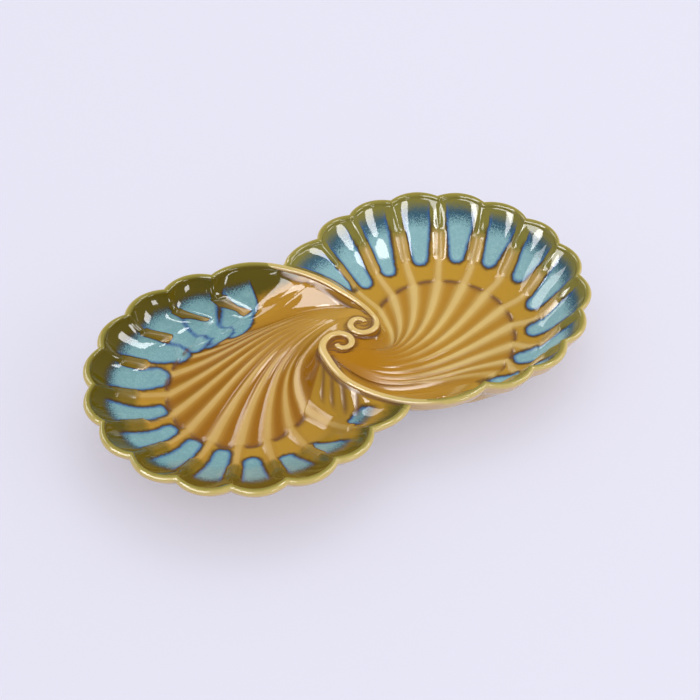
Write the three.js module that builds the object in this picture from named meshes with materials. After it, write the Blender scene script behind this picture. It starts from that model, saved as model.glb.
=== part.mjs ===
// A double scallop-shell serving dish in glazed ceramic, in millimetres with +Z up.
// The origin is on the table under the middle of the dish. The left half is worked out here,
// and the right half is the same one turned half round the Z axis.
import * as THREE from "three";
import { mergeVertices } from "three/addons/utils/BufferGeometryUtils.js";

const { clamp, degToRad, lerp, radToDeg, smoothstep } = THREE.MathUtils;

// Plan of a shell
const SHELL_OFFSET = 73; // middle of the dish to the middle of a shell's rim
const RIM_RADIUS = 90.2; // middle of the rim roll at the notches between lobes
const ROLL_RADIUS = 2.5; // rounded edge of the rim
const LOBE_BULGE = 5; // how far a lobe stands outside the notches
const UPPER_RING_SHARE = 0.7; // share of a lobe's bulge at the upper ring
const LOWER_RING_SHARE = 0.3;
const FLOOR_SHARE = 0.3;
const LOBE_COUNT = 12; // lobes from the seam to the smooth stretch of rim
const FIRST_NOTCH = -62.7; // degrees
const LAST_NOTCH = -287.1;

// Growth rings of the wall: radius, shift of the ring's middle from the rim's, and depth below the rim
const UPPER_RING_RADIUS = 77;
const UPPER_RING_SHIFT = new THREE.Vector2(1.6, 4.7);
const UPPER_RING_DEPTH = 14;
const LOWER_RING_RADIUS = 63.4;
const LOWER_RING_SHIFT = new THREE.Vector2(4.9, 9.9);
const LOWER_RING_DEPTH = 25.5;
const LOWER_RING_TWIST = 13; // degrees that the last ribs lean towards the smooth rim
const FLOOR_RADIUS = 43.5;
const FLOOR_SHIFT = new THREE.Vector2(2.2, 9.5);
const FLOOR_DEPTH = 30;
const FLOOR_FIRST_RIB = -52.8; // degrees
const FLOOR_LAST_RIB = -300.3;
const FLOOR_SWELL = 9; // how much wider the floor is at the last rib
const FLOOR_TWIST = 18; // degrees that the last ribs stand back from an even spacing
const FLOOR_TWIST_START = 0.75; // share of the ribs that are evenly spaced
const TWIST_START = 0.62; // share of the ribs that run straight before the last ones lean

// Sweep of the floor ribs, which spring from one point beside the scroll
const RIB_FLARE = 58; // how far they run on before they spread
const RIB_HEADING = 158; // degrees, at the seam
const RIB_FAN = 62.4; // degrees, from the seam to the crest
const EDGE_REACH = 0.38; // share of a rib's length that keeps its heading at the floor's edge
const EDGE_HEADING = 92; // degrees, at the seam
const EDGE_FAN = 143;
const LAST_HEADING = -30; // degrees, the least lean of the ribs near the crest
const EDGE_CROWD = 6; // how close to the floor's edge its scallops stay
const SEAM_CROWD = 2.2; // how close the rings crowd to the spring along the seam
const CREST_CROWD = 2.4;

// Relief of the wall and the floor
const WALL = 6; // thickness, measured upright
const RIB_HEIGHT = 1.6; // bars between the flutes of the wall
const RIB_FLANK = [0.05, 0.2]; // share of a flute's width over which a bar falls away
const FLOOR_RIB_HEIGHT = 1.4;
const FLOOR_RIB_RISE = [0.25, 0.7]; // share of its length over which a floor rib grows
const RIBLESS = 0.4; // share of a flute's width beside the seam without ribs
const FLOOR_STEP = 1; // edge between the flutes and the floor
const CREST_WIDTH = 1.06; // ribs over which the floor rises to the other shell's scroll

// Smooth stretch of rim, which carries the scroll
const SMOOTH_SHIFT = new THREE.Vector2(14.3, 14.4); // its middle from the rim's middle
const SMOOTH_START = 80; // degrees
const SEAM_ANGLE = 44; // degrees, where it leaves the outer edge of the dish
const CREST_FOOT = 28; // degrees, across from the end of the floor's edge
const SMOOTH_END = -6.3; // degrees, where the scroll starts to curl
const SCROLL_RADIUS = 2.2; // height of the half-round scroll
const SCROLL_DROP = 6; // top of the scroll below the rim
const SCROLL_START = 0.16; // share of the smooth rim before the scroll
const HOOK_RADIUS = 13; // at the start of the curl
const HOOK_SHRINK = 0.2; // per radian of the curl
const HOOK_TURN = 375; // degrees
const HOOK_SHARE = 0.35; // share of the seam's S that follows the curl
const VOLUTE_GAP = 1; // between the two scrolls

// Foot rings
const FOOT_RADIUS = 34;
const FOOT_WIDTH = 8;
const FOOT_HEIGHT = 4;
const FOOT_FLARE = 1.35; // outer end of the slope from the flat over the foot, as a share of the flat

const CLEARANCE = 0.3; // between pieces that are pressed together

// Fineness of the surfaces
const LOBE_SHARES = [0, 0.14, 0.5, 0.86];
const SEAM_SHARES = [0, 0.06, 0.12, 0.2, 0.3, 0.4, 0.5, 0.6, 0.7, 0.8, 0.88, 0.94];
const WALL_REACHES = [1, 1.35, 1.7, 2, 2.35, 2.7, 3, 3.35, 3.7];
const ROLL_ANGLES = [180, 135, 90, 45, 0, -45];
const SCROLL_ANGLES = [0, 30, 60, 90, 120, 150, 180];
const RAIL_STEPS = 10;
const CREST_STEPS = 14;
const CURL_STEPS = 42;
const FOOT_SIDES = 48;
const SEAM_NUDGE = 0.01; // share of the seam's S for its direction
const JOIN_DISTANCE = 1e-3;

const RIM_HEIGHT = FLOOR_DEPTH + WALL + FOOT_HEIGHT;
const LAST_LINE = LOBE_COUNT + 1;
const [, FIRST_SHARE, MIDDLE_SHARE] = LOBE_SHARES;

function polar(middle, radius, degrees) {
  const angle = degToRad(degrees);
  return new THREE.Vector2(middle.x + radius * Math.cos(angle), middle.y + radius * Math.sin(angle));
}

function mix(from, to, share) {
  return new THREE.Vector2().lerpVectors(from, to, share);
}

// A step from the start of the curl, along the heading of the smooth rim and to the right of it.
function hookStep(forward, right) {
  const heading = degToRad(SMOOTH_END - 90);
  return new THREE.Vector2(
    forward * Math.cos(heading) + right * Math.sin(heading),
    forward * Math.sin(heading) - right * Math.cos(heading),
  );
}

// The curl of the scroll from its own start: its radius shrinks as it turns.
const hookScale = HOOK_RADIUS / (HOOK_SHRINK ** 2 + 1);
function curl(turn) {
  const shrink = Math.exp(-HOOK_SHRINK * turn);
  const across = 1 - shrink * Math.cos(turn);
  const along = shrink * Math.sin(turn);
  return hookStep(hookScale * (HOOK_SHRINK * across + along), hookScale * (across - HOOK_SHRINK * along));
}

// The smooth rim's radius sets the volutes side by side, VOLUTE_GAP apart.
const shellMiddle = new THREE.Vector2(-SHELL_OFFSET, 0);
const smoothMiddle = shellMiddle.clone().add(SMOOTH_SHIFT);
const curlStart = new THREE.Vector2(SCROLL_RADIUS + VOLUTE_GAP / 2 - curl(Math.PI).x, 0);
const smoothRadius = (curlStart.x - smoothMiddle.x) / Math.cos(degToRad(SMOOTH_END));
curlStart.y = polar(smoothMiddle, smoothRadius, SMOOTH_END).y;
const crestRadius = smoothRadius - CLEARANCE / 2;
const hookMiddle = hookStep(hookScale * HOOK_SHRINK, hookScale).add(curlStart);
const umboRadius = curlStart.distanceTo(hookMiddle) + SCROLL_RADIUS + CLEARANCE;
const footMiddle = shellMiddle.clone().add(FLOOR_SHIFT);

// How far the scroll has sunk below the rim at an angle of the smooth stretch.
function crestDrop(degrees) {
  return SCROLL_DROP * clamp((SMOOTH_START - degrees) / (SMOOTH_START - SMOOTH_END), 0, 1);
}

// The S of the seam between the two curls: a quarter turn of this curl, then the same of the other one.
function seamMiddle(share) {
  if (share > 0.5) return seamMiddle(1 - share).negate();
  const turned = Math.min(share / HOOK_SHARE, 1);
  const hook = curl((turned * Math.PI) / 2).add(curlStart);
  if (turned < 1) return hook;
  const bend = hook.clone().add(new THREE.Vector2(-HOOK_RADIUS / 2, 0));
  const path = new THREE.QuadraticBezierCurve(hook, bend, new THREE.Vector2());
  return path.getPoint((share - HOOK_SHARE) / (0.5 - HOOK_SHARE));
}

// The left shell's edge along that S, half the clearance away from it.
function seamEdge(share) {
  const ahead = seamMiddle(Math.min(share + SEAM_NUDGE, 1));
  const along = ahead.sub(seamMiddle(Math.max(share - SEAM_NUDGE, 0))).normalize();
  const left = new THREE.Vector2(along.y, -along.x);
  return seamMiddle(share).addScaledVector(left, CLEARANCE / 2);
}

// Rib lines are numbered from 0 at the seam, one at each notch, and the last along the crest.
function ringPoint(middle, radius, first, last, line) {
  return polar(middle, radius, lerp(first, last, (line - 1) / (LOBE_COUNT - 1)));
}

function lobe(line) {
  const share = line - Math.floor(line);
  return 4 * share * (1 - share);
}

// The four places on a rib line: floor edge, lower ring, upper ring and rim, on a notch or a lobe.
function wallPlaces(line, bulge) {
  const late = smoothstep(line / LOBE_COUNT, TWIST_START, 1);
  const lean = LOWER_RING_TWIST * late;
  const back = FLOOR_TWIST * smoothstep(line / LOBE_COUNT, FLOOR_TWIST_START, 1);
  const floorRadius = FLOOR_RADIUS + FLOOR_SWELL * late + FLOOR_SHARE * bulge;
  const lowerRadius = LOWER_RING_RADIUS + LOWER_RING_SHARE * bulge;
  const upperRadius = UPPER_RING_RADIUS + UPPER_RING_SHARE * bulge;
  const lowerMiddle = shellMiddle.clone().add(LOWER_RING_SHIFT);
  const upperMiddle = shellMiddle.clone().add(UPPER_RING_SHIFT);
  return [
    ringPoint(footMiddle, floorRadius, FLOOR_FIRST_RIB + back, FLOOR_LAST_RIB + back, line),
    ringPoint(lowerMiddle, lowerRadius, FIRST_NOTCH - lean, LAST_NOTCH - lean, line),
    ringPoint(upperMiddle, upperRadius, FIRST_NOTCH, LAST_NOTCH, line),
    ringPoint(shellMiddle, RIM_RADIUS + bulge, FIRST_NOTCH, LAST_NOTCH, line),
  ];
}

// Plan of a rib line. Reach 0 is the spring of the ribs, 1 the floor's edge, 2 and 3 the rings, 4 the rim.
const spring = seamEdge(0);
function ribLine(line, reach) {
  const places = wallPlaces(line, LOBE_BULGE * lobe(line));
  if (reach >= 1) {
    const below = Math.min(Math.floor(reach), 3);
    return mix(places[below - 1], places[below], reach - below);
  }
  const [end] = wallPlaces(line, 0);
  const share = line / LAST_LINE;
  const lean = Math.max(EDGE_HEADING - EDGE_FAN * share, LAST_HEADING);
  const path = new THREE.CubicBezierCurve(
    spring,
    polar(spring, RIB_FLARE, RIB_HEADING - RIB_FAN * share),
    polar(end, EDGE_REACH * end.distanceTo(spring), lean),
    end,
  );
  return path.getPoint(reach).addScaledVector(places[0].sub(end), reach ** EDGE_CROWD);
}

// Angle along the smooth rim that a reach of the crest line stands at.
function crestAngle(reach) {
  if (reach < 1) return lerp(CREST_FOOT, SMOOTH_END, (1 - reach) ** CREST_CROWD);
  return lerp(CREST_FOOT, SEAM_ANGLE, (reach - 1) / 3);
}

// Angle along the other shell's crest that a reach of the seam line stands at.
function seamAngle(reach) {
  return lerp(SMOOTH_END, SEAM_ANGLE, Math.max(reach - 1, 0) / 3);
}

function seamLine(reach) {
  if (reach < 1) return seamEdge(1 - (1 - reach) ** SEAM_CROWD);
  return polar(smoothMiddle, smoothRadius + CLEARANCE / 2, seamAngle(reach)).negate();
}

// The smooth rim swings out from the last notch onto its own arc.
function smoothRim(share, radius) {
  const notch = ribLine(LOBE_COUNT, 4).sub(smoothMiddle);
  const dip = radius - notch.length();
  const degrees = lerp(radToDeg(notch.angle()), SEAM_ANGLE, share);
  return polar(smoothMiddle, radius - dip * (1 - share) ** 3, degrees);
}

function planPoint(line, reach) {
  if (reach === 0) return spring.clone();
  const rimShare = (reach / 4) ** 2;
  if (line < 1) {
    const outward = ribLine(1, 4).sub(shellMiddle).setLength(LOBE_BULGE * lobe(line) * rimShare);
    return mix(seamLine(reach), ribLine(1, reach), line).add(outward);
  }
  if (line <= LOBE_COUNT) return ribLine(line, reach);
  const share = line - LOBE_COUNT;
  const crest = polar(smoothMiddle, crestRadius, crestAngle(reach));
  const straight = mix(ribLine(LOBE_COUNT, 4), polar(smoothMiddle, crestRadius, SEAM_ANGLE), share);
  const edge = smoothRim(share, crestRadius).sub(straight);
  return mix(ribLine(LOBE_COUNT, reach), crest, share).addScaledVector(edge, rimShare);
}

// Depth below the rim of the plain surface, without its ribs. The scroll lies on its highest parts.
function seatDepth(degrees) {
  return crestDrop(degrees) + SCROLL_RADIUS + CLEARANCE;
}

function ownDepth(line, reach) {
  if (reach >= 3) return lerp(UPPER_RING_DEPTH, ROLL_RADIUS, reach - 3);
  if (reach >= 2) return lerp(LOWER_RING_DEPTH, UPPER_RING_DEPTH, reach - 2);
  if (reach >= 1) return lerp(FLOOR_DEPTH - FLOOR_STEP, LOWER_RING_DEPTH, reach - 1);
  const away = planPoint(line, reach).distanceTo(hookMiddle) - umboRadius;
  const whole = planPoint(line, 1).distanceTo(hookMiddle) - umboRadius;
  return lerp(FLOOR_DEPTH, seatDepth(SMOOTH_END), (1 - clamp(away / whole, 0, 1)) ** 2);
}

function plainDepth(line, reach) {
  const own = ownDepth(line, reach);
  if (line > LOBE_COUNT) return lerp(own, seatDepth(crestAngle(reach)), (line - LOBE_COUNT) ** 2);
  const rise = clamp(1 - (line - FIRST_SHARE) / CREST_WIDTH, 0, 1) ** 2;
  return lerp(own, seatDepth(seamAngle(reach)), rise);
}

// Height of the ribs: bars on the wall that sink to nothing at the rim, and round ribs on the floor.
function relief(line, reach) {
  const ends = smoothstep(line, RIBLESS, 1) * (1 - smoothstep(line, LOBE_COUNT, LOBE_COUNT + RIBLESS));
  const off = Math.abs(line - Math.round(line));
  if (reach < 1) {
    return ends * FLOOR_RIB_HEIGHT * smoothstep(reach, ...FLOOR_RIB_RISE) * (1 - smoothstep(off, 0, 0.5));
  }
  return ends * RIB_HEIGHT * (1 - smoothstep(off, ...RIB_FLANK)) * (1 - smoothstep(reach, 3, 4));
}

function topPoint(line, reach) {
  const plan = planPoint(line, reach);
  const depth = plainDepth(line, reach) - relief(line, reach);
  return new THREE.Vector3(plan.x, plan.y, RIM_HEIGHT - depth);
}

// The underside follows the top, but is flat where the foot ring sits.
function bottomPoint(line, reach) {
  const plan = planPoint(line, reach);
  const flat = FOOT_RADIUS + FOOT_WIDTH;
  const away = smoothstep(plan.distanceTo(footMiddle), flat, flat * FOOT_FLARE);
  const follow = Math.max(RIM_HEIGHT - plainDepth(line, reach) - WALL, FOOT_HEIGHT);
  return new THREE.Vector3(plan.x, plan.y, lerp(FOOT_HEIGHT, follow, away));
}

// The rim roll from the inner side over the top to the outer side. Under a scroll it is cut flat.
function rollPoints(line) {
  const rim = planPoint(line, 4);
  const radial = rim.clone().sub(smoothMiddle).normalize();
  const outward = rim.clone().sub(planPoint(line, 3)).normalize();
  outward.lerp(radial, smoothstep(line, LOBE_COUNT, LOBE_COUNT + MIDDLE_SHARE)).normalize();
  const crown = smoothstep(line, FIRST_SHARE, MIDDLE_SHARE)
    * (1 - smoothstep(line, LOBE_COUNT, LOBE_COUNT + FIRST_SHARE));
  const overhang = 1 - smoothstep(line, LOBE_COUNT + MIDDLE_SHARE, LAST_LINE);
  return ROLL_ANGLES.map((degrees) => {
    const across = ROLL_RADIUS * Math.cos(degToRad(degrees));
    const up = ROLL_RADIUS * Math.sin(degToRad(degrees));
    const plan = rim.clone().addScaledVector(outward, across > 0 ? across * overhang : across);
    const height = RIM_HEIGHT - plainDepth(line, 4) + (up > 0 ? up * crown : up);
    return new THREE.Vector3(plan.x, plan.y, height);
  });
}

const floorReaches = SEAM_SHARES.map((share) => 1 - (1 - share) ** (1 / SEAM_CROWD));
const topReaches = [...floorReaches, ...WALL_REACHES];
function shellSection(line) {
  const top = topReaches.map((reach) => topPoint(line, reach));
  const under = topReaches.map((reach) => bottomPoint(line, reach)).reverse();
  return [...top, ...rollPoints(line), ...under];
}

// A closed solid through a row of closed sections. A section has as many points above as below.
function loft(sections) {
  const count = sections[0].length;
  const last = (sections.length - 1) * count;
  const index = [];
  for (let row = 0; row < last; row += count) {
    for (let at = 0; at < count; at++) {
      const a = row + at;
      const b = row + ((at + 1) % count);
      index.push(a, a + count, b, b, a + count, b + count);
    }
  }
  for (let at = 0; at + 1 < count / 2; at++) {
    const far = count - 1 - at;
    index.push(at, at + 1, far, far, at + 1, far - 1);
    index.push(last + at, last + far, last + at + 1, last + far, last + far - 1, last + at + 1);
  }
  return closed(new THREE.BufferGeometry().setFromPoints(sections.flat()).setIndex(index));
}

// The same surface with its shared points joined and its empty facets left out.
function closed(geometry) {
  const bare = new THREE.BufferGeometry();
  bare.setAttribute("position", geometry.attributes.position);
  bare.setIndex(geometry.index);
  const joined = mergeVertices(bare, JOIN_DISTANCE);
  const corners = joined.index.array;
  const kept = [];
  for (let i = 0; i < corners.length; i += 3) {
    const [a, b, c] = corners.slice(i, i + 3);
    if (a !== b && b !== c && c !== a) kept.push(a, b, c);
  }
  joined.setIndex(kept);
  joined.computeVertexNormals();
  return joined;
}

function shellGeometry() {
  const lines = [];
  for (let line = 0; line < LAST_LINE; line++) {
    LOBE_SHARES.forEach((share) => lines.push(line + share));
  }
  lines.push(LAST_LINE);
  return loft(lines.map(shellSection));
}

function steps(count) {
  return Array.from({ length: count }, (_, i) => i / count);
}

// The scroll's middle line on its seat, along the smooth rim, down the crest and into the volute.
function scrollPath() {
  const seat = (plan, drop) => new THREE.Vector3(plan.x, plan.y, RIM_HEIGHT - drop - SCROLL_RADIUS);
  const rail = steps(RAIL_STEPS).map((step) => {
    const share = lerp(SCROLL_START, 1, step);
    return seat(smoothRim(share, smoothRadius), crestDrop(SEAM_ANGLE) * share ** 2);
  });
  const crest = steps(CREST_STEPS).map((step) => {
    const degrees = lerp(SEAM_ANGLE, SMOOTH_END, step);
    return seat(polar(smoothMiddle, smoothRadius, degrees), crestDrop(degrees));
  });
  const volute = [...steps(CURL_STEPS), 1].map((step) => {
    return seat(curl(degToRad(HOOK_TURN) * step).add(curlStart), SCROLL_DROP);
  });
  return [...rail, ...crest, ...volute];
}

function scrollGeometry() {
  const path = scrollPath();
  const sections = path.map((point, i) => {
    const ahead = path[Math.min(i + 1, path.length - 1)];
    const along = ahead.clone().sub(path[Math.max(i - 1, 0)]);
    const right = new THREE.Vector3(along.y, -along.x, 0).normalize();
    return SCROLL_ANGLES.map((degrees) => {
      const angle = degToRad(degrees);
      const side = point.clone().addScaledVector(right, SCROLL_RADIUS * Math.cos(angle));
      return side.setZ(point.z + SCROLL_RADIUS * Math.sin(angle));
    });
  });
  return loft(sections);
}

function footGeometry() {
  const inner = FOOT_RADIUS - FOOT_WIDTH / 2;
  const outer = FOOT_RADIUS + FOOT_WIDTH / 2;
  const profile = [[inner, 0], [outer, 0], [outer, FOOT_HEIGHT], [inner, FOOT_HEIGHT], [inner, 0]];
  const ring = new THREE.LatheGeometry(profile.map(([x, y]) => new THREE.Vector2(x, y)), FOOT_SIDES);
  ring.rotateX(Math.PI / 2);
  ring.translate(footMiddle.x, footMiddle.y, 0);
  return closed(ring);
}

function addPair(group, name, geometry, color, roughness) {
  for (const [side, turn] of [["left", 0], ["right", Math.PI]]) {
    const material = new THREE.MeshStandardMaterial({ color, roughness, metalness: 0 });
    const mesh = new THREE.Mesh(geometry, material);
    mesh.name = `${side}_${name}`;
    mesh.rotation.z = turn;
    group.add(mesh);
  }
}

const dish = new THREE.Group();
addPair(dish, "shell", shellGeometry(), 0xb8862d, 0.15);
addPair(dish, "scroll", scrollGeometry(), 0xd0b060, 0.15);
addPair(dish, "foot_ring", footGeometry(), 0xd9cbb2, 0.8);

export default dish;
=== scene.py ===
import cmath
import math

import bmesh
import bpy
from mathutils import Matrix


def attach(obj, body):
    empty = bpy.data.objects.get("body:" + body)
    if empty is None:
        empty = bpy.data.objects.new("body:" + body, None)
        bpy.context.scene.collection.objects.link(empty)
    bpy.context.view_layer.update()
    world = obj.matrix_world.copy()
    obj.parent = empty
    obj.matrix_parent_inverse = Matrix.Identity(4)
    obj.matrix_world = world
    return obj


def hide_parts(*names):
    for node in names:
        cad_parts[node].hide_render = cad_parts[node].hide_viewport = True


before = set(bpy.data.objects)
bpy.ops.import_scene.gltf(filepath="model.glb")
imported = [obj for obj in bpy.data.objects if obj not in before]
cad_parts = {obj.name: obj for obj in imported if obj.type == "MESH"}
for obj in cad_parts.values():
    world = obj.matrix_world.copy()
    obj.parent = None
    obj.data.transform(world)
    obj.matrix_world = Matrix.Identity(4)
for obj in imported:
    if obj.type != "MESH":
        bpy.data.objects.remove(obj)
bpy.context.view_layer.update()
mm = 0.001


# plan points are complex numbers in mm, seen from above; half a turn of the dish is a minus sign
# line counts round a shell: 0 the seam, 1 to 12 the ribs, 13 the crest
# reach counts outwards: 0 the umbo, 1 the floor's edge, 2 and 3 the wall's rings, 4 the rim, 5 under it
def polar(middle, radius, degrees):
    return middle + cmath.rect(radius, math.radians(degrees))


def mix(a, b, share):
    return a + (b - a) * share


def clamp(x, low=0.0, high=1.0):
    return min(max(x, low), high)


def soft(x, low, high):
    t = clamp((x - low) / (high - low))
    return t * t * (3 - 2 * t)


def hump(x, middle, width):
    return math.exp(-((x - middle) / width) ** 2)


# shell: mm and degrees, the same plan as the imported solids
shell = {
    "middle": complex(-73, 0), "rimRadius": 90.2, "rollRadius": 2.45, "bulge": 4.9, "lobes": 12,
    "notches": (-62.7, -287.1), "rollAngles": (180, -45),
    "upper": {"radius": 77, "shift": complex(1.6, 4.7), "depth": 14, "share": 0.7},
    "lower": {"radius": 63.4, "shift": complex(4.9, 9.9), "depth": 25.5, "share": 0.3,
              "twist": 13, "twistFrom": 0.62},
    "floor": {"radius": 43.5, "shift": complex(2.2, 9.5), "depth": 30, "share": 0.3, "ribs": (-52.8, -300.3),
              "twist": 18, "twistFrom": 0.75, "swell": 9, "edgeRise": 1, "innerRise": 0.6},
    "wall": 6, "rimHeight": 40, "footHeight": 4, "underShare": 0.96, "underFlat": 42, "underFade": 1.35,
    "barHeight": 1.6, "barWidth": 6.6, "ribHeight": 1.5, "edgeGroove": 0.5, "seamGroove": 0.7,
    "pitch": (2, 15.6, 22.6, 27.4, 32.1),          # mm from rib to rib at reach 0 to 4
    "fromRim": (130, 55, 35, 17.5, 0),             # mm down the wall at reach 0 to 4
    "easing": (                                    # times, and from line, to line, up to reach
        (60, ((0.15, 2.6, 3),)),
        (300, ((10.8, 12.97, 1.8), (12.2, 12.97, 3.85))),
    ),
}

# ribs: how they leave the umbo and arrive at the floor's edge, from the first line to the last
ribs = {"leave": 58, "leaveAngles": (158, 95.6),
        "arrive": 0.38, "arriveAngles": (92, -51), "leastAngle": -30}

# scroll: the bead that runs down the seam and curls up in the middle
scroll = {
    "radius": 2.2, "drop": 6, "seat": 0.3, "sink": 0.1,
    "hookRadius": 13, "shrink": 0.2, "turn": 375, "gap": 1,
    "smoothShift": complex(14.3, 14.4), "smoothStart": 80, "smoothEnd": -6.3,
    "seamAngle": 44, "seamRise": (0.14, 1.2), "seamEase": 2.2, "crestFoot": 28, "crestEase": 2.4,
    "curlShare": 0.35, "start": 0.1, "shift": 5.4, "shiftFade": (12, 42),
    "grooveDepth": 0.7, "grooveWidth": 0.9,
    "steps": {"rim": 30, "crest": 60, "curl": 150}, "around": 20, "tipSteps": 4,
    "flat": 0.75, "flatFrom": (20, 60), "thin": 0.25, "thinFrom": (150, 240),
}

lastLine = shell["lobes"] + 1
hookScale = scroll["hookRadius"] / (scroll["shrink"] ** 2 + 1)
hookHeading = cmath.rect(1, math.radians(scroll["smoothEnd"] - 90))


def hookStep(forward, right):
    return (forward - 1j * right) * hookHeading


def curl(turn):
    k = scroll["shrink"]
    w = math.exp(-k * turn) * cmath.rect(1, turn)
    return hookStep(hookScale * (k * (1 - w.real) + w.imag), hookScale * (1 - w.real - k * w.imag))


smoothMiddle = shell["middle"] + scroll["smoothShift"]
curlStartX = scroll["radius"] + scroll["gap"] / 2 - curl(math.pi).real
smoothRadius = (curlStartX - smoothMiddle.real) / math.cos(math.radians(scroll["smoothEnd"]))
curlStart = polar(smoothMiddle, smoothRadius, scroll["smoothEnd"])
hookMiddle = curlStart + hookStep(hookScale * scroll["shrink"], hookScale)
umboRadius = abs(curlStart - hookMiddle) + scroll["radius"] + scroll["seat"]
floorMiddle = shell["middle"] + shell["floor"]["shift"]


def crestDrop(degrees):
    low, high = scroll["smoothEnd"], scroll["smoothStart"]
    return scroll["drop"] * clamp((high - degrees) / (high - low))


def seamMiddle(share):                     # the S between the two curls
    onCurl = scroll["curlShare"]
    if share > 0.5:
        return -seamMiddle(1 - share)
    if share < onCurl:
        return curlStart + curl(share / onCurl * math.pi / 2)
    hook = curlStart + curl(math.pi / 2)
    bow = hook - scroll["hookRadius"] / 2
    t = (share - onCurl) / (0.5 - onCurl)
    return hook * (1 - t) ** 2 + bow * 2 * t * (1 - t)


def lobe(line):
    f = line - math.floor(line)
    return 4 * f * (1 - f)


def onRing(ring, line, bulge, ends):
    share = (line - 1) / (shell["lobes"] - 1)
    return polar(shell["middle"] + ring["shift"], ring["radius"] + ring["share"] * bulge, mix(*ends, share))


def wallPlaces(line, bulge):
    lower, floor = shell["lower"], shell["floor"]
    late = soft(line / shell["lobes"], lower["twistFrom"], 1)
    lean = lower["twist"] * late
    back = floor["twist"] * soft(line / shell["lobes"], floor["twistFrom"], 1)
    floorEdge = dict(floor, radius=floor["radius"] + floor["swell"] * late)
    rim = {"radius": shell["rimRadius"], "shift": 0, "share": 1}
    first, last = shell["notches"]
    return [
        onRing(floorEdge, line, bulge, [end + back for end in floor["ribs"]]),
        onRing(lower, line, bulge, (first - lean, last - lean)),
        onRing(shell["upper"], line, bulge, (first, last)),
        onRing(rim, line, bulge, (first, last)),
    ]


def through(marks, reach):                 # smooth curve through values at reach 1 to 4
    at = min(int(reach), 3) - 1
    t = reach - 1 - at
    a, b = marks[at], marks[at + 1]
    before, after = marks[max(at - 1, 0)], marks[min(at + 2, 3)]
    leave = (b - before) / (2 if at else 1)
    arrive = (after - a) / (2 if at < 2 else 1)
    return ((2 * t ** 3 - 3 * t * t + 1) * a + (t ** 3 - 2 * t * t + t) * leave
            + (3 * t * t - 2 * t ** 3) * b + (t ** 3 - t * t) * arrive)


def ribLine(line):                         # a rib's plan, as a function of reach
    places = wallPlaces(line, shell["bulge"] * lobe(line))
    end = wallPlaces(line, 0)[0]
    share = line / lastLine
    lean = max(mix(*ribs["arriveAngles"], share), ribs["leastAngle"])
    a = polar(curlStart, ribs["leave"], mix(*ribs["leaveAngles"], share))
    b = polar(end, ribs["arrive"] * abs(end - curlStart), lean)

    def at(reach):
        if reach >= 1:
            return through(places, reach)
        t, s = reach, 1 - reach
        path = curlStart * s ** 3 + 3 * a * s * s * t + 3 * b * s * t * t + end * t ** 3
        return path + (places[0] - end) * reach ** 6
    return at


firstRib = ribLine(1)
lastRib = ribLine(shell["lobes"])
lastNotch = lastRib(4) - smoothMiddle
notchAngle = math.degrees(cmath.phase(lastNotch))


def crestAngle(reach):
    foot = scroll["crestFoot"]
    if reach < 1:
        return mix(foot, scroll["smoothEnd"], (1 - reach) ** scroll["crestEase"])
    return mix(foot, scroll["seamAngle"], (reach - 1) / 3)


def seamAngle(reach):
    return mix(scroll["smoothEnd"], scroll["seamAngle"], max(reach - 1, 0) / 3)


def smoothRim(share):
    dip = (smoothRadius - abs(lastNotch)) * (1 - share) ** 3
    return polar(smoothMiddle, smoothRadius - dip, mix(notchAngle, scroll["seamAngle"], share))


def planOf(line):                          # plan of any line between the seam and the crest
    if line < 1:
        outward = firstRib(4) - shell["middle"]
        outward *= shell["bulge"] * lobe(line) / abs(outward)

        def at(reach):
            if reach < 1:
                seam = seamMiddle(1 - (1 - reach) ** scroll["seamEase"])
            else:
                seam = -polar(smoothMiddle, smoothRadius, seamAngle(reach))
            return mix(seam, firstRib(reach), line) + outward * (reach / 4) ** 2
        return at
    if line <= shell["lobes"]:
        return ribLine(line)
    share = line - shell["lobes"]
    edge = smoothRim(share) - mix(lastRib(4), polar(smoothMiddle, smoothRadius, scroll["seamAngle"]), share)
    return lambda reach: (mix(lastRib(reach), polar(smoothMiddle, smoothRadius, crestAngle(reach)), share)
                          + edge * (reach / 4) ** 2)


# heights: depth below the rim, in mm
def seatDepth(degrees):
    return crestDrop(degrees) + scroll["radius"] + scroll["seat"]


def ownDepth(reach, plan):
    floor, lower, upper = shell["floor"], shell["lower"], shell["upper"]
    if reach >= 1:
        edge = floor["depth"] - floor["edgeRise"]
        return through([edge, lower["depth"], upper["depth"], shell["rollRadius"]], reach)
    away = abs(plan(reach) - hookMiddle) - umboRadius
    whole = abs(plan(1) - hookMiddle) - umboRadius
    inner = floor["depth"] - floor["innerRise"]
    return mix(inner, seatDepth(scroll["smoothEnd"]), (1 - clamp(away / whole)) ** 2)


def plainDepth(line, reach, plan):
    own = ownDepth(reach, plan)
    if line > shell["lobes"]:
        return mix(own, seatDepth(crestAngle(reach)), (line - shell["lobes"]) ** 2)
    low, high = scroll["seamRise"]
    return mix(own, seatDepth(seamAngle(reach)), clamp((high - line) / (high - low)) ** 2)


def ringValue(marks, reach):               # between values given at reach 0 to 4
    at = min(int(reach), 3)
    return mix(marks[at], marks[at + 1], min(reach, 4) - at)


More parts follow.
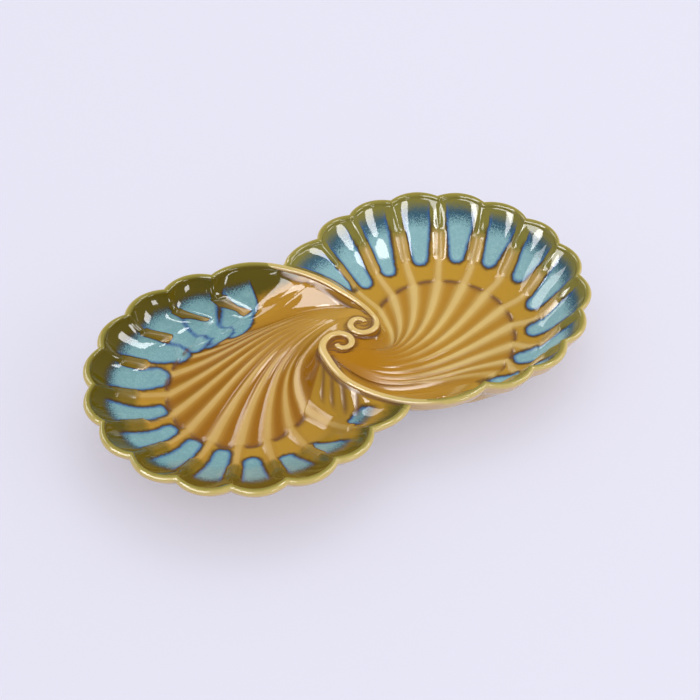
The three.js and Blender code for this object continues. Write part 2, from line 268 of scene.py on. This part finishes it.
def ribShare(line, reach):                 # 1 on a rib or bar, 0 in a valley or flute
    ends = soft(line, 0.4, 1) * (1 - soft(line, shell["lobes"], shell["lobes"] + 0.4))
    off = abs(line - round(line))
    if reach < 1:                          # round ribs, which end before the plain wall
        ends *= 1 - soft(line, 10.4, 12)
        return ends * soft(reach, 0.15, 0.6) * (0.5 + 0.5 * math.cos(2 * math.pi * off))
    half = shell["barWidth"] / 2           # bars, narrower in each tier towards the rim
    if reach > 3:
        half *= mix(0.6, 0.3, reach - 3)
    elif reach > 2:
        half *= 0.55 + 0.45 * soft(reach, 2, 2.12)
    return ends * (1 - soft(off * ringValue(shell["pitch"], reach), 0.1 * half, 1.6 * half))


def relief(line, reach):                   # mm that the ribs and bars stand up
    share = ribShare(line, reach)
    if reach < 1:                          # low where the ribs crowd together
        crowd = mix(0.25, 1, soft(line, 1, 4.5)) * mix(1, 0.15, soft(line, 7, 10.6))
        return shell["ribHeight"] * share * crowd
    bar = shell["barHeight"] * share
    if reach < 2:
        return bar * mix(0.7, 0.4, reach - 1)
    if reach < 3:
        t = reach - 2
        return bar * mix(0.4, 1, soft(t, 0, 0.12)) * (1 - 0.75 * soft(t, 0.86, 0.98))
    return bar * mix(0.25, 0.9, soft(reach, 3, 3.12)) * (1 - soft(reach, 3.1, 4))


def edgeGroove(line, reach):               # the crescents between the ribs at the floor's edge
    off = (reach - 1) * (20 if reach > 1 else 75)            # mm from the edge
    between = soft(abs(line - round(line)), 0.1, 0.32)
    inside = soft(line, 0.6, 1.2) * (1 - soft(line, 10.2, 11.2))
    return hump(off, 0.9, 1.6) * between * inside


def seamGroove(line, reach):               # four small flutes of the left shell under the other one's scroll
    first, step = 1.28 + 0.55 * (line - 0.3), 0.46
    nearest = first + step * clamp(round((reach - first) / step), 0, 3)
    return hump(reach, nearest, 0.11) * soft(line, 0.08, 0.22) * (1 - soft(line, 0.5, 0.75))


def bend(p):                               # the pair of volutes stands to the right of the middle
    return p + scroll["shift"] * (1 - soft(abs(p), *scroll["shiftFade"]))


def scrollLine():                          # the scroll's middle line: plan and drop in mm
    path = []
    steps = scroll["steps"]
    for i in range(steps["rim"]):
        share = mix(scroll["start"], 1, i / steps["rim"])
        path.append((smoothRim(share), crestDrop(scroll["seamAngle"]) * share ** 2))
    for i in range(steps["crest"]):
        degrees = mix(scroll["seamAngle"], scroll["smoothEnd"], i / steps["crest"])
        path.append((polar(smoothMiddle, smoothRadius, degrees), crestDrop(degrees)))
    for i in range(steps["curl"] + 1):
        turned = math.radians(scroll["turn"]) * i / steps["curl"]
        path.append((curlStart + curl(turned), scroll["drop"]))
    return path


scrollPath = scrollLine()
ownScroll = [p for p, drop in scrollPath[scroll["steps"]["rim"]:]]
bothScrolls = ownScroll + [-p for p in ownScroll]


def scrollGap(p):                          # mm to the nearest scroll
    return min(abs(p - q) for q in bothScrolls)


def spaced(start, end, count):             # count samples, with the end left out
    return [start + (end - start) * i / count for i in range(count)]


# samples round and outwards, closest where the shape is finest
lines = spaced(0, 1, 30)
for line in range(1, shell["lobes"]):
    lines += spaced(line, line + 1, 18)
lines += spaced(shell["lobes"], lastLine, 30) + [lastLine]
reaches = spaced(0, 0.94, 56) + spaced(0.94, 1, 8) + spaced(1, 1.2, 8) + spaced(1.2, 2, 10)
reaches += spaced(2, 3, 20) + spaced(3, 4, 18) + spaced(4, 5, 14) + [5]


def rollPlace(line, plan, turn):           # over the rim: turn 0 inside, 1 outside below
    rim = plan(4)
    outward = (rim - plan(3)) / abs(rim - plan(3))
    radial = (rim - smoothMiddle) / abs(rim - smoothMiddle)
    outward = mix(outward, radial, soft(line, 12, 12.5))
    outward /= abs(outward)
    crown = soft(line, 0.1, 0.3) * (1 - soft(line, 12.75, 13))
    overhang = 1 - soft(line, 12.5, 13)
    angle = math.radians(mix(*shell["rollAngles"], turn))
    across = shell["rollRadius"] * math.cos(angle)
    up = shell["rollRadius"] * math.sin(angle)
    place = rim + outward * (across * overhang if across > 0 else across)
    return place, shell["rimHeight"] - plainDepth(line, 4, plan) + (up * crown if up > 0 else up)


def topPlace(line, reach, plan):
    if reach > 4:
        return rollPlace(line, plan, reach - 4)
    place = plan(reach)
    pull = (reach / 4) ** 8                # the wall ends at the roll's inner side
    if pull * shell["rollRadius"] > 0.01:
        place += (rollPlace(line, plan, 0)[0] - plan(4)) * pull
    return place, shell["rimHeight"] - plainDepth(line, reach, plan)


def underPlace(line, reach, plan):
    end, endHeight = rollPlace(line, plan, 1)
    if reach > 4:
        place, height = underPlace(line, 4, plan)
        return mix(place, end, reach - 4), mix(height, endHeight, reach - 4)
    inReach = reach * shell["underShare"]
    place = plan(inReach)
    flat = shell["underFlat"]
    away = soft(abs(place - floorMiddle), flat, flat * shell["underFade"])
    follow = max(shell["rimHeight"] - plainDepth(line, inReach, plan) - shell["wall"], shell["footHeight"])
    return place, mix(shell["footHeight"], follow, away)


# glaze runs: where each flute's run ends, as a line and mm from the rim, from the seam to the smooth rim;
# barPull is how many mm the bars push the glaze back, on the first flutes and on the last
glazeRuns = {
    "left": {"ends": [(0.8, 24), (1.9, 35), (2.65, 38), (3.55, 43), (4.45, 51), (5.45, 53), (6.4, 51),
                      (7.3, 52.5), (8.7, 54), (9.95, 56), (10.75, 58), (11.6, 62), (12.1, 60)],
             "tips": [3] + [5.6] * 7 + [8, 8, 9, 9, 8], "spread": [0.9] * 7 + [1, 1.1, 1.2, 1.35, 1.6, 1.4],
             "barPull": (9, 15), "barFrom": (1.95, 2.15)},
    "right": {"ends": [(0.85, 34), (1.5, 40), (2.4, 41), (3.45, 39), (4.5, 37), (5.45, 35), (6.45, 34),
                       (7.45, 39), (8.35, 45), (9.45, 50), (10.65, 48), (11.5, 30)],
              "tips": [5.6] * 11 + [3], "spread": [1] * 12, "barPull": (5, 5), "barFrom": (2, 2.2)},
}
runShape = {"rimHalf": 11.5, "upperHalf": 9.0, "fullLength": 30, "bend": 0.35}    # mm, the bend a share


def reachAt(down):                         # the reach that lies so many mm from the rim
    fine = 200
    tries = (4 - i / fine for i in range(4 * fine + 1))
    return next(reach for reach in tries if ringValue(shell["fromRim"], reach) >= down)


def runPath(side, flute):                  # points down the middle of a run, with half widths
    runs = glazeRuns[side]
    endLine, end = runs["ends"][flute]
    tip = runs["tips"][flute]
    wide = clamp(end / runShape["fullLength"]) * runs["spread"][flute]
    start, middle = planOf(flute + 0.5), planOf(mix(flute + 0.5, endLine, runShape["bend"]))
    return [(start(4), runShape["rimHalf"] * wide), (middle(3), runShape["upperHalf"] * wide),
            (planOf(endLine)(reachAt(max(end - tip, 0))), tip)]


runPaths = {side: [runPath(side, flute) for flute in range(len(runs["ends"]))]
            for side, runs in glazeRuns.items()}


def outsideRun(path, p):                   # mm outside the edge of one run, below 0 inside
    gaps = []
    for (a, wide), (b, narrow) in zip(path, path[1:]):
        t = clamp(((p - a) * (b - a).conjugate()).real / max(abs(b - a) ** 2, 0.01))
        gaps.append(abs(p - mix(a, b, t)) - mix(wide, narrow, t))
    return min(gaps)


def runEdge(side, line, reach, place):     # mm outside the edge of the blue glaze
    runs = glazeRuns[side]
    flute = min(int(line), shell["lobes"])
    gaps = sorted(outsideRun(path, place) for path in runPaths[side][max(flute - 1, 0):flute + 2])
    edge = gaps[0]
    if side == "left":
        edge = max(edge, -0.1 - 0.55 * (gaps[1] - gaps[0]))  # a dark line where two runs meet
        edge += 30 * soft(line, 12.25, 12.75)                # and no run on the plain wall
    pull = mix(*runs["barPull"], soft(line, 7, 8)) * soft(reach, *runs["barFrom"])
    return edge + pull * ribShare(line, reach)


def newObject(name, bm):
    mesh = bpy.data.meshes.new(name)
    bm.to_mesh(mesh)
    bm.free()
    for face in mesh.polygons:
        face.use_smooth = True
    made = bpy.data.objects.new(name, mesh)
    bpy.context.scene.collection.objects.link(made)
    print(name, len(mesh.polygons), "faces")
    return made


def closeUp(bm):
    bmesh.ops.remove_doubles(bm, verts=bm.verts, dist=0.01 * mm)
    bmesh.ops.recalc_face_normals(bm, faces=bm.faces)


def turnOf(side):                          # the right half is the left one turned half round
    return 1 if side == "left" else -1


def shellPiece(side):
    bm = bmesh.new()
    names = ("ribLine", "reach", "runEdge", "rib", "groove", "plainWall", "under")
    marks = {n: bm.verts.layers.float.new(n) for n in names}
    bmesh.ops.create_grid(bm, x_segments=len(lines) - 1, y_segments=len(reaches) - 1, size=0.5)
    for v in bm.verts:
        v[marks["ribLine"]] = lines[round((v.co.x + 0.5) * (len(lines) - 1))]
        v[marks["reach"]] = reaches[round((v.co.y + 0.5) * (len(reaches) - 1))]
        v[marks["under"]] = 1
    wall = bmesh.ops.extrude_face_region(bm, geom=bm.faces[:], use_keep_orig=True)
    top = [v for v in wall["geom"] if isinstance(v, bmesh.types.BMVert)]
    for v in top:
        v[marks["under"]] = 0
    plans = {}
    for v in bm.verts:
        line, reach = round(v[marks["ribLine"]], 4), v[marks["reach"]]
        plan = plans.get(line) or plans.setdefault(line, planOf(line))
        place, height = (underPlace if v[marks["under"]] else topPlace)(line, reach, plan)
        if not v[marks["under"]]:
            if reach < 3.9 and (reach < 2.2 or line < 1.5 or line > 12):   # elsewhere no scroll is near
                off, width = scroll["radius"] + scroll["grooveWidth"], scroll["grooveWidth"]
                v[marks["groove"]] = hump(scrollGap(place), off, width)
            v[marks["runEdge"]] = runEdge(side, line, min(reach, 4), place)
            v[marks["rib"]] = ribShare(line, min(reach, 4))
            v[marks["plainWall"]] = soft(line, 11.4, 12.5)
        place = bend(place * turnOf(side))
        v.co = (place.real * mm, place.imag * mm, height * mm)

    # ease the folds beside the seam and in the plain wall, then put the relief on
    def inPatch(v, first, last, reached):
        return first < v[marks["ribLine"]] < last and 0.06 < v[marks["reach"]] < reached

    for times, patches in shell["easing"]:
        folds = [v for v in top if any(inPatch(v, *patch) for patch in patches)]
        for i in range(times):
            bmesh.ops.smooth_vert(bm, verts=folds, factor=0.5, use_axis_x=True, use_axis_y=True,
                                  use_axis_z=True)
    for v in top:
        line, reach = v[marks["ribLine"]], v[marks["reach"]]
        if reach <= 4:
            crescent = edgeGroove(line, reach)
            flutes = seamGroove(line, reach) if side == "left" and line < 1 else 0
            cut = (shell["edgeGroove"] * crescent + shell["seamGroove"] * flutes
                   + scroll["grooveDepth"] * v[marks["groove"]])
            v.co.z += mm * (relief(line, reach) - cut)
            v[marks["groove"]] = max(v[marks["groove"]], crescent, 0.8 * flutes)
    closeUp(bm)
    return newObject(side + "ShellBowl", bm)


def scrollPiece(side):
    bm = bmesh.new()
    marks = {n: bm.verts.layers.float.new(n) for n in ("along", "around")}
    last = len(scrollPath) - 1
    bmesh.ops.create_grid(bm, x_segments=last, y_segments=scroll["around"], size=0.5)
    for v in bm.verts:
        i = round((v.co.x + 0.5) * last)
        angle = 2 * math.pi * (v.co.y + 0.5)
        p, drop = scrollPath[i]
        ahead = scrollPath[min(i + 1, last)][0] - scrollPath[max(i - 1, 0)][0]
        right = -1j * ahead / abs(ahead)
        radius = scroll["radius"] * (1 - scroll["thin"] * soft(i, *scroll["thinFrom"]))
        tip = clamp(min(i, 2 * (last - i)) / scroll["tipSteps"])
        radius *= math.sqrt(1 - (1 - tip) ** 2)              # round ends
        place = bend((p + right * radius * math.cos(angle)) * turnOf(side))
        flat = mix(1, scroll["flat"], soft(i, *scroll["flatFrom"]))
        middle = shell["rimHeight"] - drop - scroll["radius"] - scroll["sink"]
        v[marks["along"]] = i
        v[marks["around"]] = math.sin(angle)
        v.co = (place.real * mm, place.imag * mm, (middle + radius * flat * math.sin(angle)) * mm)
    closeUp(bm)
    return newObject(side + "ScrollBead", bm)


foot = {"radius": 34, "width": 8, "top": 5.2, "edge": 1.2}    # mm, with its top sunk in the shell


def footPiece(side):
    middle = floorMiddle * turnOf(side)
    bm = bmesh.new()
    corners = [(-1, 0), (1, 0), (1, 1), (-1, 1)]
    profile = [bm.verts.new(((foot["radius"] + x * foot["width"] / 2) * mm, 0, z * foot["top"] * mm))
               for x, z in corners]
    bm.faces.new(profile)
    bmesh.ops.bevel(bm, geom=bm.verts[:2], offset=foot["edge"] * mm, affect="VERTICES", segments=4,
                    profile=0.5, material=-1)
    ring = bm.edges[:]
    bmesh.ops.delete(bm, geom=bm.faces[:], context="FACES_ONLY")
    bmesh.ops.spin(bm, geom=ring, cent=(0, 0, 0), axis=(0, 0, 1), dvec=(0, 0, 0), angle=2 * math.pi,
                   steps=96, use_merge=True)
    closeUp(bm)
    bmesh.ops.translate(bm, verts=bm.verts, vec=(middle.real * mm, middle.imag * mm, 0))
    return newObject(side + "FootRing", bm)


# colours are written as the eye reads them, 0 to 255
def rgb(r, g, b):
    return tuple(((c / 255 + 0.055) / 1.055) ** 2.4 if c > 10 else c / 255 / 12.92 for c in (r, g, b)) + (1,)


class Sock:                                # a shader socket that takes sums
    def __init__(self, tree, socket=None):
        self.tree, self.socket = tree, socket

    def node(self, kind, settings=None, inputs=None, out=0):
        made = self.tree.nodes.new(kind)
        for key, value in (settings or {}).items():
            setattr(made, key, value)
        for key, value in (inputs or {}).items():
            if isinstance(value, Sock):
                self.tree.links.new(value.socket, made.inputs[key])
            else:
                made.inputs[key].default_value = value
        return Sock(self.tree, made.outputs[out])

    def calc(self, operation, a, b=0.0):
        return self.node("ShaderNodeMath", {"operation": operation}, {0: a, 1: b})

    def __add__(self, other):
        return self.calc("ADD", self, other)

    def __sub__(self, other):
        return self.calc("SUBTRACT", self, other)

    def __mul__(self, other):
        return self.calc("MULTIPLY", self, other)

    def __rsub__(self, other):
        return self.calc("SUBTRACT", other, self)

    __radd__, __rmul__ = __add__, __mul__

    def band(self, low, high):             # 0 at low, 1 at high
        return self.node("ShaderNodeMapRange", {"interpolation_type": "SMOOTHSTEP"},
                         {"Value": self, "From Min": low, "From Max": high})

    def tint(self, a, b):                  # colour a where this is 0, b where it is 1
        return self.node("ShaderNodeMix", {"data_type": "RGBA"}, {0: self, 6: a, 7: b}, out=2)

    def noise(self, scale, detail=3.0):
        place = self.node("ShaderNodeTexCoord", out=3)
        return self.node("ShaderNodeTexNoise", {}, {"Vector": place, "Scale": scale, "Detail": detail})

    def shake(self, amount):               # a noise about 0
        return (self - 0.5) * amount

    def mark(self, name):
        return self.node("ShaderNodeAttribute", {"attribute_name": name}, out=2)

    def plug(self, shader, name):
        self.tree.links.new(self.socket, shader.inputs[name])


def newMaterial(name, roughness=0.5):
    material = bpy.data.materials.new(name)
    material.use_nodes = True
    shader = material.node_tree.nodes["Principled BSDF"]
    shader.inputs["Roughness"].default_value = roughness
    shader.inputs["IOR"].default_value = 1.5
    return material, shader, Sock(material.node_tree)


glazeColours = {
    "left": {"ridge": rgb(190, 143, 50), "crest": rgb(208, 170, 90), "valley": rgb(156, 101, 12),
             "umbo": rgb(190, 145, 56), "olive": rgb(92, 81, 8), "bar": rgb(116, 98, 18),
             "turquoise": rgb(120, 165, 170), "pale": rgb(156, 197, 199)},
    "right": {"ridge": rgb(208, 170, 86), "crest": rgb(222, 190, 114), "valley": rgb(181, 130, 34),
              "umbo": rgb(174, 118, 8), "olive": rgb(130, 123, 54), "bar": rgb(180, 145, 62),
              "turquoise": rgb(134, 178, 184), "pale": rgb(168, 209, 212)},
    # poolAndShade: the grooves' dark brown, partly pooled glaze and partly painted shade
    "tier": rgb(192, 148, 46), "poolAndShade": rgb(104, 58, 18), "plain": rgb(188, 138, 40),
    "rim": rgb(198, 178, 106), "roll": rgb(148, 137, 60), "outside": rgb(204, 174, 128),
    "teal": rgb(52, 88, 108), "navy": rgb(36, 54, 90), "blue": rgb(52, 96, 160), "line": rgb(66, 40, 20),
    "beadSide": rgb(150, 92, 30), "beadTop": rgb(223, 191, 119),
}

# where each glaze begins and is full, as reach; seamLift moves the olive towards the rim beside the seam
glazeBands = {
    "left": {"deep": (2.75, 3.3), "blueTop": (3.4, 2.95), "seamLift": 0.7},
    "right": {"deep": (2.95, 3.5), "blueTop": (3.95, 3.45), "seamLift": 0.0},
    "umbo": (0.7, 0.15), "tier": (0.98, 1.1), "bar": (1.9, 2.3), "olive": (2.6, 3.2), "line": (3.5, 3.0),
    "roll": (4.05, 4.35), "rim": (4.35, 4.6), "outside": (4.65, 4.9),
}


def shellGlaze(side):
    c = dict(glazeColours, **glazeColours[side])
    at = dict(glazeBands, **glazeBands[side])
    material, shader, s = newMaterial(side + "Glaze")
    line, reach, run, rib = s.mark("ribLine"), s.mark("reach"), s.mark("runEdge"), s.mark("rib")
    groove, under, plainWall = s.mark("groove"), s.mark("under"), s.mark("plainWall")
    cloud, grain, speck = s.noise(45), s.noise(300), s.noise(1300, 1)

    # amber, from the umbo up to the bars and the plain wall
    ridge = rib + cloud.shake(0.3)
    amber = ridge.band(-0.1, 1.0).tint(c["valley"], c["ridge"])
    amber = (ridge.band(0.6, 1.05) * 0.9).tint(amber, c["crest"])
    amber = (reach.band(*at["tier"]) * (0.85 - rib * 0.6)).tint(amber, c["tier"])
    amber = (reach + cloud.shake(0.3)).band(*at["umbo"]).tint(amber, c["umbo"])
    seamLift = line.band(3, 0.5) * at["seamLift"]
    amber = (reach.band(*at["bar"]) * (0.85 - seamLift)).tint(amber, c["bar"])
    amber = plainWall.tint(amber, c["plain"])

    # olive below the rim, and the rim
    below = reach + grain.shake(0.3) + plainWall * 0.5 - seamLift
    olive = below.band(*at["olive"]).tint(amber, c["olive"])
    roll = reach.band(*at["roll"]).tint(olive, c["roll"])
    rim = (reach + grain.shake(0.1)).band(*at["rim"]).tint(roll, c["rim"])

    # blue runs, with a dark edge and a brown line round them
    edge = run + grain.shake(2.2) + speck.shake(0.8)
    mottle = (speck * 0.6 + grain * 0.4).band(0.38, 0.85)
    blueGlaze = mottle.tint(c["turquoise"], c["pale"])
    deep = (reach + speck.shake(1.1) + cloud.shake(0.4)).band(*at["deep"])
    blueGlaze = deep.tint(blueGlaze, c["teal"])
    blueGlaze = (edge.band(-2.8, -0.6) * 0.7).tint(blueGlaze, c["blue"])
    blueGlaze = (edge.band(-1.0, 0.1) * 0.85).tint(blueGlaze, c["navy"])
    brownLine = edge.band(2.9, 0.2) * reach.band(*at["line"]) * 0.85
    base = brownLine.tint(rim, c["line"])
    blueTop = (reach + speck.shake(0.4) + cloud.shake(0.35)).band(*at["blueTop"])
    colour = (edge.band(0.5, -0.3) * blueTop).tint(base, blueGlaze)

    # dark in the grooves: partly pooled glaze, partly painted shade under the floor's edge step and beside
    # the scrolls; and the outside
    colour = (groove * 0.85).tint(colour, c["poolAndShade"])
    colour = under.tint(colour, c["outside"])
    colour = reach.band(*at["outside"]).tint(colour, c["outside"])
    colour.plug(shader, "Base Color")

    # duller on ribs and in grooves
    crowded = line.band(7.5, 9) * line.band(12.2, 11.6) * reach.band(0.95, 0.8)
    dull = rib * reach.band(3.1, 2.9) + groove + crowded * 0.5
    (dull * 0.3 + 0.05).plug(shader, "Roughness")
    wave = s.node("ShaderNodeBump", {}, {"Strength": 0.05, "Distance": 0.002, "Height": cloud + grain * 0.3})
    wave.plug(shader, "Normal")
    return material


def scrollGlaze():
    c = glazeColours
    material, shader, s = newMaterial("scrollGlaze", 0.08)
    along, around = s.mark("along"), s.mark("around")
    crest = (around + s.noise(200).shake(0.3)).band(-0.1, 0.7)
    amber = crest.tint(c["beadSide"], c["beadTop"])
    olive = around.band(0.2, 0.95).tint(c["outside"], c["rim"])
    (along + s.noise(80).shake(16)).band(20, 56).tint(olive, amber).plug(shader, "Base Color")
    return material


def footClay():
    material, shader, s = newMaterial("footClay", 0.8)
    s.noise(300).tint(rgb(196, 180, 154), rgb(220, 206, 182)).plug(shader, "Base Color")
    grit = s.node("ShaderNodeBump", {}, {"Strength": 0.2, "Distance": 0.0005, "Height": s.noise(2500)})
    grit.plug(shader, "Normal")
    return material


beadGlaze = scrollGlaze()
clay = footClay()
for side in ("left", "right"):
    for piece, node, slot, material in (
            (shellPiece(side), side + "_shell", "glazed_body", shellGlaze(side)),
            (scrollPiece(side), side + "_scroll", "glazed_scroll", beadGlaze),
            (footPiece(side), side + "_foot_ring", "bare_foot", clay)):
        piece.data.materials.append(material)
        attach(piece, "root")
        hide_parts(node)
print("dish made")

# floor, light and camera
studio = {"floor": rgb(226, 225, 238), "backdrop": rgb(231, 230, 245), "glow": 0.36,
          "sky": (0.97, 0.97, 1, 1), "world": 0.92, "mirrored": 0.25,
          "boxAway": 2.2, "stripAway": 2.0, "shine": 12.0}

bm = bmesh.new()
bmesh.ops.create_grid(bm, x_segments=1, y_segments=1, size=3, matrix=Matrix.Translation((0, 0, -0.1 * mm)))
studioFloor = newObject("studioFloor", bm)
floorPaint, shader, s = newMaterial("floorPaint", 0.9)
shader.inputs["Base Color"].default_value = studio["floor"]
shader.inputs["Specular IOR Level"].default_value = 0.1
rays = ("Is Camera Ray", "Is Glossy Ray", "Is Transmission Ray")
seen = sum(s.node("ShaderNodeLightPath", out=ray) for ray in rays)
glow = s.node("ShaderNodeEmission", {}, {"Color": studio["backdrop"]})
paint = Sock(s.tree, shader.outputs[0])
lit = s.node("ShaderNodeMixShader", {}, {0: seen * studio["glow"], 1: paint, 2: glow})    # a lighter shadow
lit.plug(s.tree.nodes["Material Output"], "Surface")
studioFloor.data.materials.append(floorPaint)

world = bpy.data.worlds.new("studio")
world.use_nodes = True
sky = world.node_tree.nodes["Background"]
sky.inputs["Color"].default_value = studio["sky"]
glossy = Sock(world.node_tree).node("ShaderNodeLightPath", out="Is Glossy Ray")
(studio["world"] - glossy * (studio["world"] - studio["mirrored"])).plug(sky, "Strength")
bpy.context.scene.world = world


def softBox(name, turn, rise, away, size, power):          # degrees round from +X and up, metres, watts
    lamp = bpy.data.lights.new(name, "AREA")
    lamp.shape = "RECTANGLE"
    lamp.size, lamp.size_y = size
    lamp.energy = power
    made = bpy.data.objects.new(name, lamp)
    bpy.context.scene.collection.objects.link(made)
    flat = cmath.rect(away * math.cos(math.radians(rise)), math.radians(turn))
    made.location = (flat.real, flat.imag, away * math.sin(math.radians(rise)))
    made.rotation_euler = made.location.to_track_quat("Z", "Y").to_euler()
    return made


softBoxes = (                              # name, round, up, size, watts
    ("keySoftBox", 45, 58, (1.5, 1.2), 6.0),
    ("fillSoftBox", -65, 27, (1.6, 0.8), 9.0),
)
strips = (                                 # name, round, up, size, brightness
    ("backStrip", 106, 41, (1.0, 0.7), 0.45),
    ("leftStrip", 155, 53, (0.6, 0.5), 1),
    ("rightStrip", -38, 55, (0.7, 0.45), 1.1),
    ("frontStrip", -168, 42, (2.2, 1.3), 0.8),
    ("lowStrip", -31, 25, (0.8, 0.35), 1),
    ("nearStrip", -80, 18, (0.5, 0.3), 1),
)
for name, turn, rise, size, power in softBoxes:
    box = softBox(name, turn, rise, studio["boxAway"], size, power)
    box.visible_glossy = False             # these light the dish and don't shine in the glaze
for name, turn, rise, size, share in strips:
    power = share * studio["shine"] * math.pi * size[0] * size[1]
    strip = softBox(name, turn, rise, studio["stripAway"], size, power)
    strip.visible_diffuse = False          # these only shine in the glaze
print("light set")

# sensor in mm; image, focal length and shift in pixels; place in metres
view = {"sensor": 36, "image": 700, "focal": 1554.68, "shift": 3.8,
        "place": (-0.377575, -0.592674, 0.710615),
        "right": (0.843987, -0.536353, 0.003316), "up": (0.374004, 0.59293, 0.713131),
        "back": (-0.384455, -0.600633, 0.701023)}
camera = bpy.data.objects.new("camera", bpy.data.cameras.new("camera"))
bpy.context.scene.collection.objects.link(camera)
camera.data.sensor_width = view["sensor"]
camera.data.lens = view["sensor"] * view["focal"] / view["image"]
camera.data.shift_x = view["shift"] / view["image"]
axes = Matrix((view["right"], view["up"], view["back"])).transposed()
camera.matrix_world = Matrix.Translation(view["place"]) @ axes.to_4x4()
bpy.context.scene.camera = camera
bpy.context.scene.view_settings.view_transform = "Standard"

print("scene ready")
